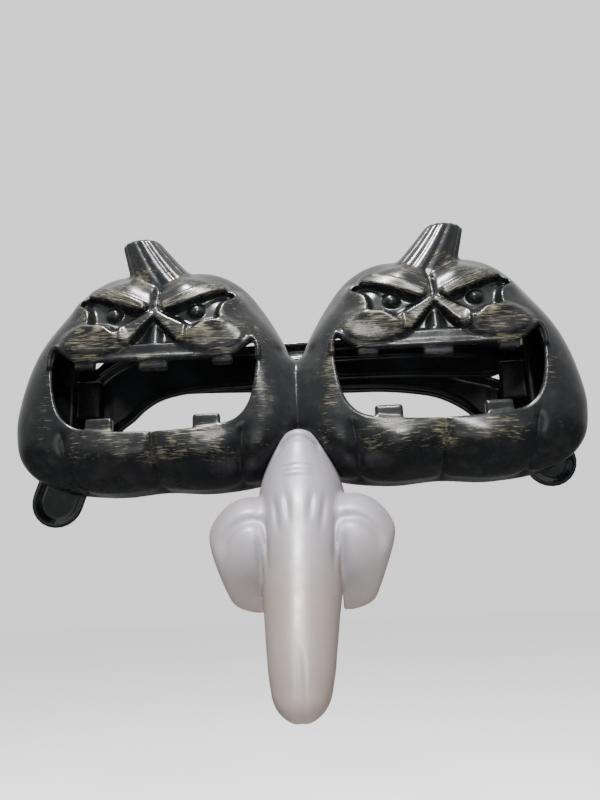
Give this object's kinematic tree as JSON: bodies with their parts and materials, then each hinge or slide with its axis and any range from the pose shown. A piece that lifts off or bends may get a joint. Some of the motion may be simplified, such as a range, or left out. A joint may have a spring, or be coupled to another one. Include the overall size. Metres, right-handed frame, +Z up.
{
  "type": "novelty eyeglasses",
  "caption": "Folding novelty eyeglasses: two jack-o'-lantern fronts whose open mouths are the eye openings, a hooked witch nose and two hinged temple arms.",
  "frame": {"origin": "where the bridge bears on the wearer's nose: in the symmetry plane, on the plane of the shells' back rims, at eye height", "axes": "+Z up as worn, the front faces -Y, +X towards the temple arm that folds first, which is at the wearer's left"},
  "size_m": [0.1729, 0.0703, 0.1371],
  "materials": {
    "brushed_black_plastic": "gloss black with antique gold dry-brushed on the raised parts",
    "black_plastic": "gloss black",
    "nose_plastic": "matte, slightly translucent lavender grey",
    "steel": "plain zinc-plated steel"
  },
  "bodies": {
    "front": {"front_frame": "brushed_black_plastic", "witch_nose": "nose_plastic", "hinge_pin_left": "steel", "hinge_pin_right": "steel", "nose_screw_left": "steel", "nose_screw_right": "steel"},
    "arm_right": {"temple_arm_right": "black_plastic"},
    "arm_left": {"temple_arm_left": "black_plastic"}
  },
  "joints": [
    {"name": "arm_right_hinge", "type": "hinge", "parent": "front", "child": "arm_right", "pos_m": [0.073, 0.0027, 0.01325], "axis": [0, 0, 1], "range_deg": [-90, 0]},
    {"name": "arm_left_hinge", "type": "hinge", "parent": "front", "child": "arm_left", "pos_m": [-0.073, 0.0062, 0.01325], "axis": [0, 0, 1], "range_deg": [0, 90]}
  ]
}
